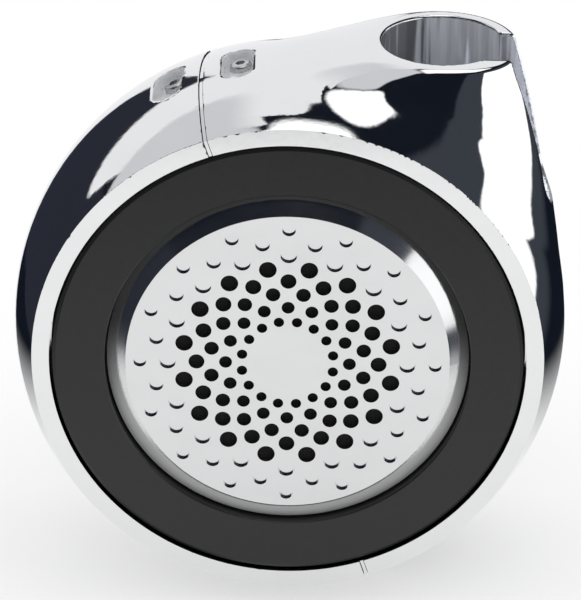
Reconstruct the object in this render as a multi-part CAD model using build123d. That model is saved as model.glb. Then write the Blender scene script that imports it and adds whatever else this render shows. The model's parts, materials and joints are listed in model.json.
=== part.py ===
from build123d import *
import math
import os

# Shower speaker: a chromed drum made of two half shells, with a vertical sleeve on one side that
# slides over a shower pipe. A black bezel ring and a perforated chrome grille close the front.
#
# Everything is drawn about the drum: x to the right, y into the body from the grille's flat face,
# z up, with the drum axis along y. On export each part moves so that the origin is on the bore
# axis of the sleeve, level with the drum axis.

# ---- driving dimensions, millimetres and degrees ----
DRUM_R = 70.0            # largest radius of the drum
BULGE_Y = 26.4           # depth of that largest radius behind the grille face
FRONT_ARC = 62.7         # radius of the bulge's cross-section, in front of that depth
REAR_ARC = 76.0          # and behind it
DRUM_DEPTH = 62.0        # grille face to rear face
WALL = 2.6               # shell wall

RIM_IN = 59.8            # chrome front rim: its outside is where the bulge meets the front face
RIM_EDGE = 0.4
REAR_BEND_Y = 56.0       # where the bulge turns into the rear face
REAR_FLAT_R = 55.5

BORE_X = 37.2            # sleeve bore axis, from the drum axis
BORE_Y = 33.0
BORE_R = 15.2
SLEEVE_R = 18.6          # outside of the sleeve at its rim
SLEEVE_TOP = 74.5
TOWER_H = 64.5           # the sleeve's flare ends this far below its rim
TOWER_STEPS = 12
RIM_ROUND = 1.2          # rounding of the sleeve's rim, outside and inside
TUBE_R = 18.2            # sleeve wall inside the drum
SHOULDER_Z = -46.0       # the bore narrows here, so a pipe collar stops
EXIT_R = 12.4
EXIT_WALL = 2.0

SLOT_W = 17.0            # side slot of the sleeve
SLOT_Y = 29.5
SLOT_END_Z = 33.0        # its lowest point
SLOT_WALL = 2.2

SEAM_TILT = 19.0         # seam plane, from vertical
SEAM_T = 0.8             # thickness of the seam strip
SEAM_SINK = 0.35         # how far the strip sits below the skin

POCKET_ARC = 7.6         # angle from the seam to the middle of each screw pocket
POCKET_W = 8.2           # across the drum axis
POCKET_FRONT = 21.2
POCKET_BACK = 40.8
POCKET_FLOOR = 65.6      # distance of its flat floor from the drum axis
POCKET_WALL = 1.8
SHELL_SCREW_Y = 36.2
BRIDGE_R = 63.2
BRIDGE_T = 3.0

BEZEL_IN = 45.9
BEZEL_OUT = 59.4
BEZEL_FRONT = 0.5
BEZEL_BACK = 5.4
BEZEL_T = 2.0
BEZEL_POST_R = 50.6

GRILLE_FLAT_R = 40.6
GRILLE_R = 45.4
GRILLE_DROP = 3.4        # height of the grille's bevel
GRILLE_T = 1.6
GRILLE_BACK = 6.2
HOLES_PER_RING = 16
HOLE_RINGS = [(11.6, 2.6), (15.5, 3.25), (19.4, 3.65), (22.8, 4.0), (26.4, 4.4)]
DIMPLE_RINGS = [(30.0, 4.25), (33.5, 3.75), (37.0, 3.45)]
DIMPLE_DEPTH = 0.9
MEMBRANE_R = 31.5

BAFFLE_R = 59.6
BAFFLE_FRONT = 6.4
BAFFLE_BACK = 9.4
BAFFLE_SCREW_R = 55.3
LEDGE_IN = 53.4          # ledge in the shells that carries the baffle
LEDGE_T = 2.4

DRIVER_R = 41.6
DRIVER_SCREW_R = 39.4
CONE_R = 29.9
COIL_R = 9.0
CAP_R = 11.6
CAP_FRONT = 9.4
CAP_CURVE = 21.5
CAP_T = 0.4
SPIDER_R = 19.6
SPIDER_Y = 16.2
MAGNET_FRONT = 18.4
MAGNET_R = 17.0

REAR_OPEN_R = 40.0
COVER_R = 47.3
COVER_GAP = 0.3
COVER_T = 2.4
COVER_SCREW_R = 44.2
COVER_SCREWS = 6
FLANGE_T = 2.8           # rear flange of the shells, under the cover
GASKET_T = 0.7

BUTTON_X = (-15.0, 0.0, 15.0)
BUTTON_Z = 12.0
BUTTON_R = 4.6
BUTTON_GAP = 0.35
BUTTON_PROUD = 0.6
BUTTON_TRAVEL = 0.9
STEM_END = 56.6

PORT_Z = -16.0
PORT_W = 9.0
PORT_H = 3.2
FLAP_L = 20.0
FLAP_H = 8.4
FLAP_T = 1.2
FLAP_GAP = 0.4
ANCHOR_L = 3.0

BOARD_R = 36.0
BOARD_Y = 52.2
BOARD_T = 1.6
POST_X = 22.0

BATTERY_X = -36.0
BATTERY_Y = 36.0
BATTERY_R = 9.2
BATTERY_L = 65.0
CRADLE_T = 1.8
CRADLE_PLATE_X = -50.0
CRADLE_PLATE_T = 2.4
CRADLE_POSTS_Y = (21.5, 50.5)


# ---- helpers ----
def cyl_y(radius, y0, y1, x=0.0, z=0.0):
    """Cylinder parallel to the drum axis, from depth y0 to y1."""
    body = Cylinder(radius, y1 - y0, align=(Align.CENTER, Align.CENTER, Align.MIN))
    return Pos(x, y0, z) * Rot(X=-90) * body


def cyl_z(radius, z0, z1, x, y):
    """Upright cylinder."""
    body = Cylinder(radius, z1 - z0, align=(Align.CENTER, Align.CENTER, Align.MIN))
    return Pos(x, y, z0) * body


def cyl_x(radius, x0, x1, y, z):
    """Cylinder parallel to x."""
    body = Cylinder(radius, x1 - x0, align=(Align.CENTER, Align.CENTER, Align.MIN))
    return Pos(x0, y, z) * Rot(Y=90) * body


def tube_y(outer, inner, y0, y1, x=0.0, z=0.0):
    return cyl_y(outer, y0, y1, x, z) - cyl_y(inner, y0 - 1, y1 + 1, x, z)


def block(x0, x1, y0, y1, z0, z1):
    size = Box(x1 - x0, y1 - y0, z1 - z0)
    return Pos((x0 + x1) / 2, (y0 + y1) / 2, (z0 + z1) / 2) * size


def turned(points):
    """Solid of revolution about the drum axis, from (radius, depth) points."""
    return revolve(make_face(Polyline(*points, close=True)), Axis.Y)


def turned_edges(edges):
    """Solid of revolution about the drum axis, from a closed chain of edges."""
    return revolve(make_face(Curve() + edges), Axis.Y)


def around(shape, count, start=0.0):
    """The shape repeated evenly about the drum axis."""
    return [Rot(Y=start + i * 360.0 / count) * shape for i in range(count)]


def drum_radius(y):
    """Outer radius of the bulge at depth y."""
    arc = FRONT_ARC if y < BULGE_Y else REAR_ARC
    return DRUM_R - arc + math.sqrt(arc**2 - (y - BULGE_Y) ** 2)


def seam_slab(n0, n1):
    """Slab parallel to the seam plane, between two distances along its normal."""
    return Rot(Y=-SEAM_TILT) * block(n0, n1, -50, 150, -200, 200)


# ---- housing ----
def drum_solid(inset, front_y, edge=0.0):
    """The drum's envelope behind depth front_y, shrunk by inset, with an edge around its front."""
    bend_y = REAR_BEND_Y - inset * 0.4
    flat_r = REAR_FLAT_R - inset * 0.4
    rear_y = DRUM_DEPTH - inset
    start = (drum_radius(front_y + edge) - inset, front_y + edge)
    middle_y = (front_y + BULGE_Y) / 2
    middle = (drum_radius(middle_y) - inset, middle_y)
    widest = (DRUM_R - inset, BULGE_Y)
    behind_y = (BULGE_Y + bend_y) / 2
    behind = (drum_radius(behind_y) - inset, behind_y)
    bend = (drum_radius(bend_y) - inset, bend_y)
    corner = ((bend[0] + flat_r) / 2 + 1.9, (bend_y + rear_y) / 2 + 1.2)
    outline = [
        Line((0, front_y), (start[0] - edge, front_y)),
        ThreePointArc(start, middle, widest),
        ThreePointArc(widest, behind, bend),
        ThreePointArc(bend, corner, (flat_r, rear_y)),
        Line((flat_r, rear_y), (0, rear_y)),
        Line((0, rear_y), (0, front_y)),
    ]
    if edge > 0:
        outline.append(Line((start[0] - edge, front_y), start))
    return turned_edges(outline)


def tower_section(drop):
    """Reach of the sleeve tower to the left, right, front and back, drop below its rim."""
    share = drop / TOWER_H
    swell = 1 - math.exp(-drop / 6)
    left = BORE_X - SLEEVE_R - 38.0 * (1 - math.exp(-((drop / 6.5) ** 1.3)))
    right = BORE_X + SLEEVE_R + 13.2 * share * (1.55 - 0.55 * share)
    front = BORE_Y - SLEEVE_R - 2.0 * swell - 24.0 * (1 - math.exp(-drop / 60))
    back = BORE_Y + SLEEVE_R + 5.0 * swell + 3.4 * share
    return left, right, front, back


def tower(inset=0.0, top_drop=0.0):
    """The sleeve's outer body: a round rim that flares down into the drum."""
    ovals = []
    for step in range(TOWER_STEPS + 1):
        drop = top_drop + (TOWER_H - top_drop) * (step / TOWER_STEPS) ** 2
        left, right, front, back = tower_section(drop)
        oval = Ellipse((right - left) / 2 - inset, (back - front) / 2 - inset)
        ovals.append(Pos((right + left) / 2, (back + front) / 2, SLEEVE_TOP - drop) * oval)
    return loft(ovals)


def sleeve_tower():
    """The tower with its rim rounded."""
    body = tower()
    return fillet(body.edges().group_by(Axis.Z)[-1], RIM_ROUND)


def slot_prism(x0, grow=0.0):
    """The side slot's space from x0 outwards: open at the top, round at its lower end."""
    half = SLOT_W / 2 + grow
    low = SLOT_END_Z + SLOT_W / 2
    x1 = BORE_X + 45
    upright = block(x0, x1, SLOT_Y - half, SLOT_Y + half, low, SLEEVE_TOP + 10)
    return upright + cyl_x(half, x0, x1, SLOT_Y, low)


def bore():
    """Space for the pipe: rounded mouth, wide bore, and a narrower way out below the shoulder."""
    wide = cyl_z(BORE_R, SHOULDER_Z, SLEEVE_TOP + 1, BORE_X, BORE_Y)
    mouth_z = SLEEVE_TOP - RIM_ROUND
    mouth = cyl_z(BORE_R + RIM_ROUND, mouth_z, SLEEVE_TOP + 1, BORE_X, BORE_Y)
    mouth -= Pos(BORE_X, BORE_Y, mouth_z) * Torus(BORE_R + RIM_ROUND, RIM_ROUND)
    return wide + mouth + cyl_z(EXIT_R, -100, SHOULDER_Z + 1, BORE_X, BORE_Y)


def sleeve_walls():
    """Solid that stays around the bore and the slot, inside the cavity."""
    tube = cyl_z(TUBE_R, SHOULDER_Z - 2.4, SLEEVE_TOP, BORE_X, BORE_Y)
    tube += cyl_z(EXIT_R + EXIT_WALL, -100, SHOULDER_Z, BORE_X, BORE_Y)
    return tube + slot_prism(BORE_X + BORE_R + 0.6, SLOT_WALL)


def pocket_frame(side):
    """Location whose z axis points out through a pocket: side is -1 or 1, left or right of the seam."""
    return Rot(Y=side * POCKET_ARC - SEAM_TILT)


def pocket_prism(low, high, grow=0.0):
    """Round-ended prism with the pocket's outline, between two distances from the drum axis."""
    half = POCKET_W / 2 + grow
    front = POCKET_FRONT + POCKET_W / 2
    back = POCKET_BACK - POCKET_W / 2
    ends = [cyl_z(half, low, high, 0, y) for y in (front, back)]
    return block(-half, half, front, back, low, high) + ends


def pocket_cut(side):
    """A screw pocket beside the seam, with its screw hole."""
    hole = cyl_z(1.7, BRIDGE_R - 1, POCKET_FLOOR + 1, 0, SHELL_SCREW_Y)
    return pocket_frame(side) * (pocket_prism(POCKET_FLOOR, DRUM_R + 5) + hole)


def pocket_wall(side):
    return pocket_frame(side) * pocket_prism(BRIDGE_R, DRUM_R + 5, POCKET_WALL)


def rear_flange():
    """Thick rear flange under the cover, with a boss for each cover screw."""
    flange = cyl_y(COVER_R + 3.0, DRUM_DEPTH - COVER_T - FLANGE_T, DRUM_DEPTH)
    boss = cyl_y(3.0, 52.0, DRUM_DEPTH - COVER_T - 1, z=COVER_SCREW_R)
    return flange + around(boss, COVER_SCREWS, 30 - SEAM_TILT)


def cradle_posts():
    """Posts on the left wall that carry the battery cradle."""
    return [cyl_x(3.4, -DRUM_R, CRADLE_PLATE_X, y, 0) for y in CRADLE_POSTS_Y]


def housing():
    """Both half shells in one piece, before the seam is cut."""
    cavity = drum_solid(WALL, BAFFLE_BACK) + tower(WALL, 16.5)
    cavity -= sleeve_walls()
    for side in (-1, 1):
        cavity -= pocket_wall(side)
    cavity -= tube_y(DRUM_R, LEDGE_IN, -20, BAFFLE_BACK + LEDGE_T)
    cavity -= rear_flange()
    for post in cradle_posts():
        cavity -= post
    body = drum_solid(0, 0, RIM_EDGE) + sleeve_tower() - cavity
    body -= cyl_y(RIM_IN, -20, BAFFLE_BACK)
    body -= cyl_y(REAR_OPEN_R, DRUM_DEPTH - 8, DRUM_DEPTH + 5)
    body -= cyl_y(REAR_OPEN_R + 1.8, DRUM_DEPTH - COVER_T - GASKET_T, DRUM_DEPTH + 5)
    body -= cyl_y(COVER_R + COVER_GAP, DRUM_DEPTH - COVER_T, DRUM_DEPTH + 5)
    body -= bore()
    body -= slot_prism(BORE_X + BORE_R / 2)
    body -= pocket_cut(-1)
    body -= pocket_cut(1)
    body -= around(cyl_y(1.05, 53.5, DRUM_DEPTH, z=COVER_SCREW_R), COVER_SCREWS, 30 - SEAM_TILT)
    body -= around(cyl_y(0.95, BAFFLE_BACK - 1, 20, z=BAFFLE_SCREW_R), 6, 30 - SEAM_TILT)
    body -= [cyl_x(1.05, CRADLE_PLATE_X - 8, CRADLE_PLATE_X + 1, y, 0) for y in CRADLE_POSTS_Y]
    return body


def seam_strip():
    """Thin strips between the half shells, over the top and under the bottom."""
    strip = drum_solid(SEAM_SINK, SEAM_SINK) - drum_solid(WALL, BAFFLE_BACK)
    strip -= cyl_y(RIM_IN, -5, BAFFLE_BACK)
    strip -= cyl_y(COVER_R + COVER_GAP, DRUM_DEPTH - 8, DRUM_DEPTH)
    return strip & seam_slab(-SEAM_T / 2, SEAM_T / 2)


def seam_bridge():
    """Curved plate behind the seam that the two shell screws pull against."""
    reach = BRIDGE_R * math.sin(math.radians(POCKET_ARC + 5.0))
    plate = tube_y(BRIDGE_R, BRIDGE_R - BRIDGE_T, 24.0, 42.0)
    plate &= Rot(Y=-SEAM_TILT) * block(-reach, reach, 20, 50, 40, 80)
    for side in (-1, 1):
        plate -= pocket_frame(side) * cyl_z(1.5, 50, 70, 0, SHELL_SCREW_Y)
    return plate


def shell_screws():
    """Low-headed socket screws in the pockets, one through each half shell into the bridge."""
    screws = []
    for side in (-1, 1):
        head = cyl_z(2.8, POCKET_FLOOR, POCKET_FLOOR + 1.6, 0, SHELL_SCREW_Y)
        head = fillet(head.edges().group_by(Axis.Z)[-1], 0.9)
        socket = Pos(0, SHELL_SCREW_Y, POCKET_FLOOR + 0.4) * extrude(RegularPolygon(1.3, 6), 3)
        shank = cyl_z(1.45, BRIDGE_R - BRIDGE_T - 0.8, POCKET_FLOOR, 0, SHELL_SCREW_Y)
        screws.append(pocket_frame(side) * (head - socket + shank))
    return Compound(screws)


# ---- front ----
def bezel_ring():
    """Black front ring: a channel section with a rounded outer edge and four screw posts."""
    outline = [
        (BEZEL_IN, BEZEL_FRONT + 0.3),
        (BEZEL_IN + 0.3, BEZEL_FRONT),
        (BEZEL_OUT - 1.2, BEZEL_FRONT),
        (BEZEL_OUT - 0.4, BEZEL_FRONT + 0.35),
        (BEZEL_OUT, BEZEL_FRONT + 1.2),
        (BEZEL_OUT, BEZEL_BACK),
        (BEZEL_OUT - BEZEL_T, BEZEL_BACK),
        (BEZEL_OUT - BEZEL_T, BEZEL_FRONT + BEZEL_T),
        (BEZEL_IN + BEZEL_T, BEZEL_FRONT + BEZEL_T),
        (BEZEL_IN + BEZEL_T, BEZEL_BACK),
        (BEZEL_IN, BEZEL_BACK),
    ]
    ring = turned(outline)
    ring += around(cyl_y(2.2, BEZEL_FRONT + 1, BAFFLE_FRONT, z=BEZEL_POST_R), 4, 45)
    ring -= around(cyl_y(0.95, 3.6, 10, z=BEZEL_POST_R), 4, 45)
    return ring


def bezel_gasket():
    return tube_y(BEZEL_OUT, BEZEL_OUT - BEZEL_T, BEZEL_BACK, BAFFLE_FRONT)


def pan_screw(head_r, shank_r, seat_y, tip_y, head_h, radius):
    """Round-headed screw parallel to the drum axis; its head is on the side away from the tip."""
    away = -1 if tip_y > seat_y else 1
    head_y = sorted((seat_y, seat_y + away * head_h))
    shank_y = sorted((seat_y, tip_y))
    head = cyl_y(head_r, head_y[0], head_y[1], z=radius)
    slot_y = sorted((seat_y + away * head_h * 0.5, seat_y + away * (head_h + 1)))
    slots = block(-head_r * 0.6, head_r * 0.6, slot_y[0], slot_y[1], radius - 0.25, radius + 0.25)
    slots += block(-0.25, 0.25, slot_y[0], slot_y[1], radius - head_r * 0.6, radius + head_r * 0.6)
    return head - slots + cyl_y(shank_r, shank_y[0], shank_y[1], z=radius)


def bezel_screws():
    screw = pan_screw(1.9, 0.9, BAFFLE_BACK, 4.0, 1.4, BEZEL_POST_R)
    return Compound(around(screw, 4, 45))


def baffle_screws():
    screw = pan_screw(1.9, 0.9, BAFFLE_FRONT, BAFFLE_BACK + LEDGE_T, 1.2, BAFFLE_SCREW_R)
    return Compound(around(screw, 6, 30 - SEAM_TILT))


def baffle():
    """Plate that carries the driver, the grille and the bezel."""
    plate = cyl_y(BAFFLE_R, BAFFLE_FRONT, BAFFLE_BACK) - cyl_y(36.6, 0, 20)
    plate -= around(cyl_y(1.25, 0, 20, z=DRIVER_SCREW_R), 4, 45)
    plate -= around(cyl_y(1.0, 0, 20, z=BEZEL_POST_R), 4, 45)
    plate -= around(cyl_y(1.0, 0, 20, z=BAFFLE_SCREW_R), 6, 30 - SEAM_TILT)
    return plate


def grille():
    """Chrome disc with a bevelled edge, rings of round holes and rings of blind dimples."""
    outline = [
        (0, 0),
        (GRILLE_FLAT_R, 0),
        (GRILLE_R, GRILLE_DROP),
        (GRILLE_R, GRILLE_BACK),
        (GRILLE_R - 1.8, GRILLE_BACK),
        (GRILLE_R - 1.8, GRILLE_DROP + 0.6),
        (GRILLE_FLAT_R - 0.8, GRILLE_T),
        (0, GRILLE_T),
    ]
    disc = turned(outline)
    half_step = 180.0 / HOLES_PER_RING
    for index, (radius, diameter) in enumerate(HOLE_RINGS + DIMPLE_RINGS):
        through = index < len(HOLE_RINGS)
        depth = GRILLE_T + 1 if through else DIMPLE_DEPTH
        start = half_step if index % 2 == 0 else 0.0
        disc -= around(cyl_y(diameter / 2, -1, depth, x=radius), HOLES_PER_RING, start)
    return disc


def grille_seal():
    return tube_y(GRILLE_R, GRILLE_R - 1.8, GRILLE_BACK, BAFFLE_FRONT)


def acoustic_membrane():
    return cyl_y(MEMBRANE_R, GRILLE_T, GRILLE_T + 0.3)


def membrane_ring():
    return tube_y(MEMBRANE_R, MEMBRANE_R - 2.2, GRILLE_T + 0.3, GRILLE_T + 1.5)


# ---- driver ----
def driver_basket():
    """Pressed frame: flange, lip for the surround, coned wall with windows, magnet seat."""
    frame = tube_y(DRIVER_R, 36.4, BAFFLE_BACK, BAFFLE_BACK + 1.2)
    frame += tube_y(36.4, 34.8, 7.3, BAFFLE_BACK + 0.6)
    seat_y = MAGNET_FRONT - 1.2
    wall = [
        (35.4, BAFFLE_BACK),
        (37.4, BAFFLE_BACK),
        (37.4, BAFFLE_BACK + 1.2),
        (20.4, MAGNET_FRONT),
        (11.0, MAGNET_FRONT),
        (11.0, seat_y),
        (19.8, seat_y),
    ]
    frame += turned(wall)
    frame -= around(block(-8, 8, 11.6, 16.4, 15, 34), 4, 0)
    frame -= around(cyl_y(1.25, 0, 20, z=DRIVER_SCREW_R), 4, 45)
    return frame


def driver_screws():
    screw = pan_screw(1.9, 1.15, BAFFLE_BACK + 1.2, BAFFLE_FRONT + 0.2, 1.5, DRIVER_SCREW_R)
    return Compound(around(screw, 4, 45))


def top_plate():
    return tube_y(MAGNET_R, COIL_R + 0.6, MAGNET_FRONT, MAGNET_FRONT + 2.4)


def magnet():
    return tube_y(MAGNET_R, 11.5, MAGNET_FRONT + 2.4, MAGNET_FRONT + 9.0)


def pole_yoke():
    back = MAGNET_FRONT + 9.0
    return cyl_y(MAGNET_R - 1, back, back + 2.4) + cyl_y(COIL_R - 0.8, MAGNET_FRONT, back)


def voice_coil():
    """Former with its winding, in the magnet gap."""
    return tube_y(COIL_R, COIL_R - 0.3, 12.6, 23.4) + tube_y(COIL_R + 0.3, COIL_R - 0.1, 17.4, 22.0)


def cone():
    neck = COIL_R + 0.3
    return turned([(CONE_R, 6.8), (CONE_R, 7.3), (neck, 14.6), (neck, 15.0), (COIL_R, 15.0), (COIL_R, 14.2)])


def dust_cap():
    """Shallow dome that closes the voice coil."""
    centre = Pos(0, CAP_FRONT + CAP_CURVE, 0)
    dome = centre * (Sphere(CAP_CURVE) - Sphere(CAP_CURVE - CAP_T))
    return dome & cyl_y(CAP_R, 0, CAP_FRONT + 5)


def surround():
    """Half-roll rubber edge around the cone, glued to the basket's lip."""
    outer = ThreePointArc((30.0, 7.3), (33.0, 4.4), (36.0, 7.3))
    inner = ThreePointArc((35.4, 7.3), (33.0, 5.0), (30.6, 7.3))
    roll = turned_edges([outer, Line((36.0, 7.3), (35.4, 7.3)), inner, Line((30.6, 7.3), (30.0, 7.3))])
    return roll + tube_y(36.2, 35.0, 6.8, 7.3)


def spider():
    """Corrugated fabric disc that centres the coil."""
    disc = tube_y(SPIDER_R, SPIDER_R - 1.2, SPIDER_Y, MAGNET_FRONT - 1.2)
    inner = COIL_R + 0.6
    pitch = (SPIDER_R - inner) / 5
    for index in range(5):
        y = SPIDER_Y + 0.3 * (index % 2)
        disc += tube_y(inner + (index + 1) * pitch, inner + index * pitch - 0.05, y, y + 0.4)
    return disc


def wire(points, radius, bend):
    """Round wire along straight runs joined by arcs."""
    path = FilletPolyline(*points, radius=bend)
    section = Plane(origin=path @ 0, z_dir=path % 0) * Circle(radius)
    return sweep(section, path)


def driver_leads():
    leads = []
    for side in (-1, 1):
        z = 5.0 * side
        points = [(-18.4, MAGNET_FRONT, z), (-18.4, 26, z), (-22.2, 36, z + 3), (-22.2, BOARD_Y - 4, z + 3)]
        leads.append(wire(points, 0.6, 5))
    return Compound(leads)


# ---- battery ----
def battery():
    cell = cyl_z(BATTERY_R, -BATTERY_L / 2, BATTERY_L / 2, BATTERY_X, BATTERY_Y)
    cell = fillet(cell.edges().filter_by(GeomType.CIRCLE), 0.8)
    return cell + cyl_z(3.0, BATTERY_L / 2, BATTERY_L / 2 + 1.2, BATTERY_X, BATTERY_Y)


def battery_cradle():
    """Open trough around the battery on a plate with two screw holes."""
    outer = BATTERY_R + 0.2 + CRADLE_T
    trough = cyl_z(outer, -27, 27, BATTERY_X, BATTERY_Y)
    plate = block(CRADLE_PLATE_X, CRADLE_PLATE_X + CRADLE_PLATE_T, 17.5, 54.5, -6, 6)
    stem = block(CRADLE_PLATE_X, BATTERY_X, BATTERY_Y - 5, BATTERY_Y + 5, -27, 27)
    body = trough + plate + stem
    body -= cyl_z(BATTERY_R + 0.2, -40, 40, BATTERY_X, BATTERY_Y)
    body -= block(BATTERY_X + 3.0, 0, 20, 52, -40, 40)
    body -= [cyl_x(1.3, CRADLE_PLATE_X - 1, 0, y, 0) for y in CRADLE_POSTS_Y]
    return body


def cradle_screws():
    seat = CRADLE_PLATE_X + CRADLE_PLATE_T
    screws = []
    for y in CRADLE_POSTS_Y:
        head = cyl_x(2.2, seat, seat + 1.6, y, 0)
        slot = block(seat + 0.9, seat + 3, y - 1.4, y + 1.4, -0.3, 0.3)
        screws.append(head - slot + cyl_x(1.0, CRADLE_PLATE_X - 7, seat, y, 0))
    return Compound(screws)


def battery_leads():
    leads = []
    for side in (-1, 1):
        x = BATTERY_X + 5.0 * side
        end_x = -24.0 + 1.5 * side
        top = BATTERY_L / 2 + 5.0
        points = [(x, BATTERY_Y, BATTERY_L / 2), (x, BATTERY_Y, top), (end_x, 49, top), (end_x, 49, 28)]
        leads.append(wire(points, 0.6, 2.5))
    return Compound(leads)


# ---- electronics ----
def main_board():
    board = cyl_y(BOARD_R, BOARD_Y, BOARD_Y + BOARD_T)
    board -= [cyl_y(1.3, 50, 56, x, z) for x in (-POST_X, POST_X) for z in (-POST_X, POST_X)]
    return board


def board_chips():
    """Radio module, amplifier and charger on the board's front face."""
    radio = block(-16, 2, BOARD_Y - 2.4, BOARD_Y, -22, -8)
    amplifier = block(-12, -4, BOARD_Y - 1.2, BOARD_Y, -4, 4)
    charger = block(4, 9, BOARD_Y - 1.0, BOARD_Y, -14, -9)
    return Compound([radio, amplifier, charger])


def board_capacitors():
    return Compound([cyl_y(3.2, 45.0, BOARD_Y, x, 14.0) for x in (-8.0, 1.0)])


def board_connectors():
    """Sockets for the driver leads and the battery leads."""
    driver_plug = block(-25, -19.5, BOARD_Y - 4, BOARD_Y, -6, 12)
    battery_plug = block(-28, -20, BOARD_Y - 6, BOARD_Y, 24.5, 28)
    return Compound([driver_plug, battery_plug])


def board_screws():
    """Screws through the board into the cover's posts."""
    screws = []
    for x in (-POST_X, POST_X):
        for z in (-POST_X, POST_X):
            head = cyl_y(2.2, BOARD_Y - 1.4, BOARD_Y, x, z)
            slot = block(x - 1.4, x + 1.4, BOARD_Y - 2, BOARD_Y - 0.7, z - 0.3, z + 0.3)
            screws.append(head - slot + cyl_y(1.0, BOARD_Y, BOARD_Y + 5, x, z))
    return Compound(screws)


def charge_socket():
    """Charging socket: a flat oval metal tube with a contact tongue."""
    y0 = BOARD_Y + BOARD_T
    y1 = DRUM_DEPTH - 2.2
    shape = SlotOverall(PORT_W, PORT_H)
    hollow = SlotOverall(PORT_W - 0.6, PORT_H - 0.6)
    face_on = Pos(0, y0, PORT_Z) * Rot(X=-90)
    body = face_on * extrude(shape, y1 - y0)
    body -= Pos(0, y0 + 1.0, PORT_Z) * Rot(X=-90) * extrude(hollow, y1 - y0)
    return body + block(-3.2, 3.2, y0 + 0.5, y1 - 1.0, PORT_Z - 0.35, PORT_Z + 0.35)


def tact_switches():
    switches = []
    for x in BUTTON_X:
        base = BOARD_Y + BOARD_T
        body = block(x - 2.6, x + 2.6, base, base + 1.2, BUTTON_Z - 2.6, BUTTON_Z + 2.6)
        switches.append(body + cyl_y(1.4, base + 1.2, STEM_END - BUTTON_TRAVEL - 0.1, x, BUTTON_Z))
    return Compound(switches)


# ---- rear ----
def button(x):
    """Push button: cap in the cover, flange behind it and a stem to its switch."""
    under = DRUM_DEPTH - COVER_T - 1.6
    cap = cyl_y(BUTTON_R, under, DRUM_DEPTH + BUTTON_PROUD, x, BUTTON_Z)
    cap = fillet(cap.edges().group_by(Axis.Y)[-1], 0.5)
    flange = cyl_y(BUTTON_R + 1.2, under - 0.9, under, x, BUTTON_Z)
    return cap + flange + cyl_y(1.4, STEM_END, under, x, BUTTON_Z)


def flap_space(grow, deep):
    """The charging flap's outline with its anchor, as a prism in the rear face."""
    x0 = -FLAP_L / 2 - ANCHOR_L - grow
    x1 = FLAP_L / 2 + grow
    half = FLAP_H / 2 + grow
    return block(x0, x1, DRUM_DEPTH - deep, DRUM_DEPTH + 5, PORT_Z - half, PORT_Z + half)


def rear_cover():
    """Round plate with three button holes, a charging port and posts for the board."""
    under = DRUM_DEPTH - COVER_T
    plate = cyl_y(COVER_R, under, DRUM_DEPTH) + cyl_y(REAR_OPEN_R - 0.3, under - 1.6, under)
    plate = chamfer(plate.edges().group_by(Axis.Y)[-1], 0.4)
    posts = [(x, z) for x in (-POST_X, POST_X) for z in (-POST_X, POST_X)]
    plate += [cyl_y(3.0, BOARD_Y + BOARD_T, under, x, z) for x, z in posts]
    plate -= [cyl_y(1.05, BOARD_Y, 59, x, z) for x, z in posts]
    plate -= [cyl_y(BUTTON_R + BUTTON_GAP, 50, 70, x, BUTTON_Z) for x in BUTTON_X]
    plate -= flap_space(FLAP_GAP, FLAP_T)
    plate -= block(-PORT_W / 2 - 0.7, PORT_W / 2 + 0.7, 50, 70, PORT_Z - 2.3, PORT_Z + 2.3)
    plate -= cyl_y(1.5, 50, 70, -FLAP_L / 2 - ANCHOR_L / 2, PORT_Z)
    sink = Cone(1.3, 2.5, 1.2, align=(Align.CENTER, Align.CENTER, Align.MIN))
    sink = Pos(0, DRUM_DEPTH - 1.2, COVER_SCREW_R) * Rot(X=-90) * sink
    hole = cyl_y(1.3, under - 1, DRUM_DEPTH, z=COVER_SCREW_R)
    plate -= around(sink + hole, COVER_SCREWS, 30 - SEAM_TILT)
    return plate


def cover_gasket():
    under = DRUM_DEPTH - COVER_T
    return tube_y(REAR_OPEN_R + 1.7, REAR_OPEN_R - 0.2, under - GASKET_T, under)


def cover_screws():
    """Countersunk screws with a cross recess, flush with the cover."""
    head = Cone(1.2, 2.35, 1.1, align=(Align.CENTER, Align.CENTER, Align.MIN))
    head = Pos(0, DRUM_DEPTH - 1.15, COVER_SCREW_R) * Rot(X=-90) * head
    deep = DRUM_DEPTH - 0.7
    slots = block(-1.4, 1.4, deep, DRUM_DEPTH + 1, COVER_SCREW_R - 0.25, COVER_SCREW_R + 0.25)
    slots += block(-0.25, 0.25, deep, DRUM_DEPTH + 1, COVER_SCREW_R - 1.4, COVER_SCREW_R + 1.4)
    screw = head - slots + cyl_y(1.0, 54.0, DRUM_DEPTH - 1.1, z=COVER_SCREW_R)
    return Compound(around(screw, COVER_SCREWS, 30 - SEAM_TILT))


def port_flap():
    """Rubber flap over the charging socket, with a plug on its inner face and a thumb lip."""
    half = FLAP_H / 2
    y0 = DRUM_DEPTH - FLAP_T
    flap = block(-FLAP_L / 2, FLAP_L / 2, y0, DRUM_DEPTH, PORT_Z - half, PORT_Z + half)
    flap = fillet(flap.edges().filter_by(Axis.Y).group_by(Axis.X)[-1], 2.0)
    plug = Pos(0, y0 - 0.8, PORT_Z) * Rot(X=-90) * extrude(SlotOverall(PORT_W - 1.0, PORT_H - 0.8), 1.0)
    lip = block(FLAP_L / 2 - 2.4, FLAP_L / 2 - 1.2, DRUM_DEPTH, DRUM_DEPTH + 0.5, PORT_Z - 2, PORT_Z + 2)
    return flap + plug + lip


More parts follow.
